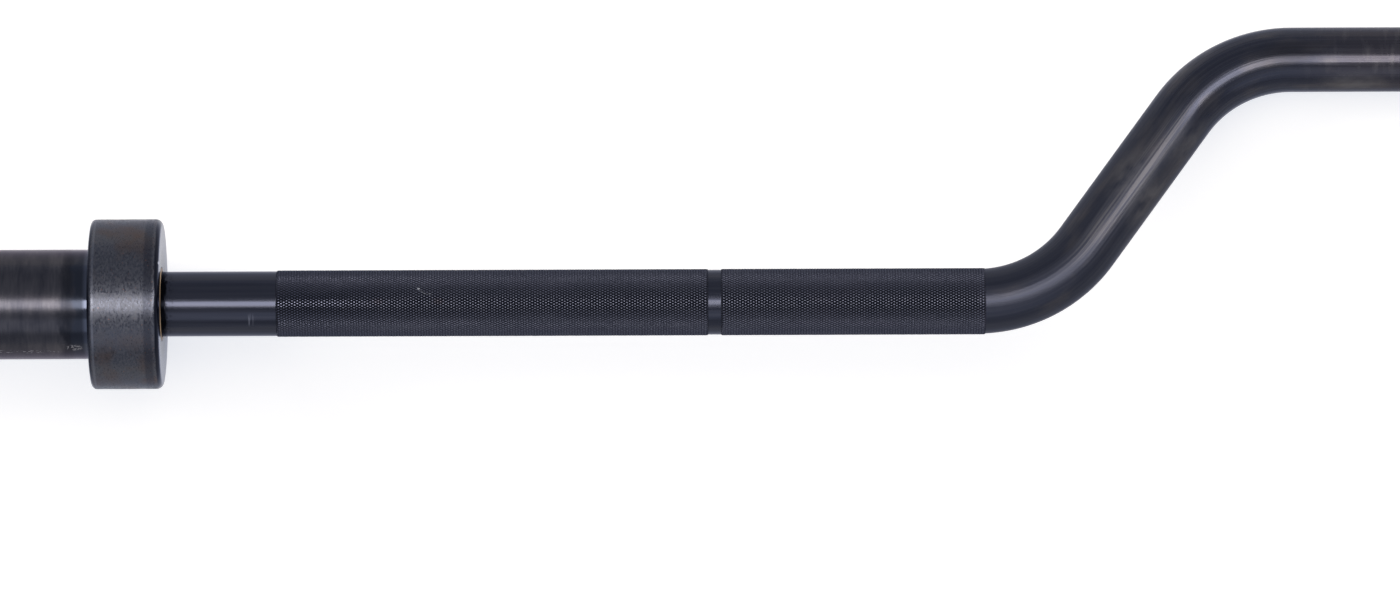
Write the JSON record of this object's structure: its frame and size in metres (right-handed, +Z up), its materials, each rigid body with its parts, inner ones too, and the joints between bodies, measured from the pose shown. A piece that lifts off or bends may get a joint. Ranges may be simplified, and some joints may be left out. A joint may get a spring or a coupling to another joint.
{
  "type": "cambered barbell",
  "caption": "Cambered barbell: a bent, knurled steel shaft with a raised middle for chest clearance, and a collared plate sleeve that spins on bronze bushings at each end.",
  "frame": {"origin": "the middle of the bar's outline on the floor, with both collars and the raised middle of the shaft resting on Z = 0", "axes": "+X along the bar, parallel to the sleeves' shared axis; +Y across the floor towards the raised middle of the shaft; +Z up from the floor"},
  "size_m": [2.2, 0.1638, 0.0775],
  "materials": {
    "black_oxide_steel": "black oxide over brushed steel, satin",
    "black_oxide_collar_steel": "black oxide over rough-turned steel, slightly pitted",
    "bronze": "sintered bronze, oiled",
    "spring_steel": "phosphated spring steel, matt"
  },
  "bodies": {
    "bent_shaft": {"shaft": "black_oxide_steel", "left_shoulder_thrust_washer": "bronze", "left_end_thrust_washer": "bronze", "left_shaft_retaining_ring": "spring_steel", "right_shoulder_thrust_washer": "bronze", "right_end_thrust_washer": "bronze", "right_shaft_retaining_ring": "spring_steel"},
    "left_sleeve": {"left_sleeve_tube": "black_oxide_steel", "left_shoulder_collar": "black_oxide_collar_steel", "left_collar_bushing": "bronze", "left_end_bushing": "bronze", "left_end_cap": "black_oxide_steel", "left_end_cap_snap_ring": "spring_steel"},
    "right_sleeve": {"right_sleeve_tube": "black_oxide_steel", "right_shoulder_collar": "black_oxide_collar_steel", "right_collar_bushing": "bronze", "right_end_bushing": "bronze", "right_end_cap": "black_oxide_steel", "right_end_cap_snap_ring": "spring_steel"}
  },
  "joints": [
    {"name": "left_sleeve_spin", "type": "hinge", "parent": "bent_shaft", "child": "left_sleeve", "pos_m": [-0.6564, -0.04314, 0.03875], "axis": [1, 0, 0], "continuous": true},
    {"name": "right_sleeve_spin", "type": "hinge", "parent": "bent_shaft", "child": "right_sleeve", "pos_m": [0.6564, -0.04314, 0.03875], "axis": [1, 0, 0], "continuous": true}
  ]
}
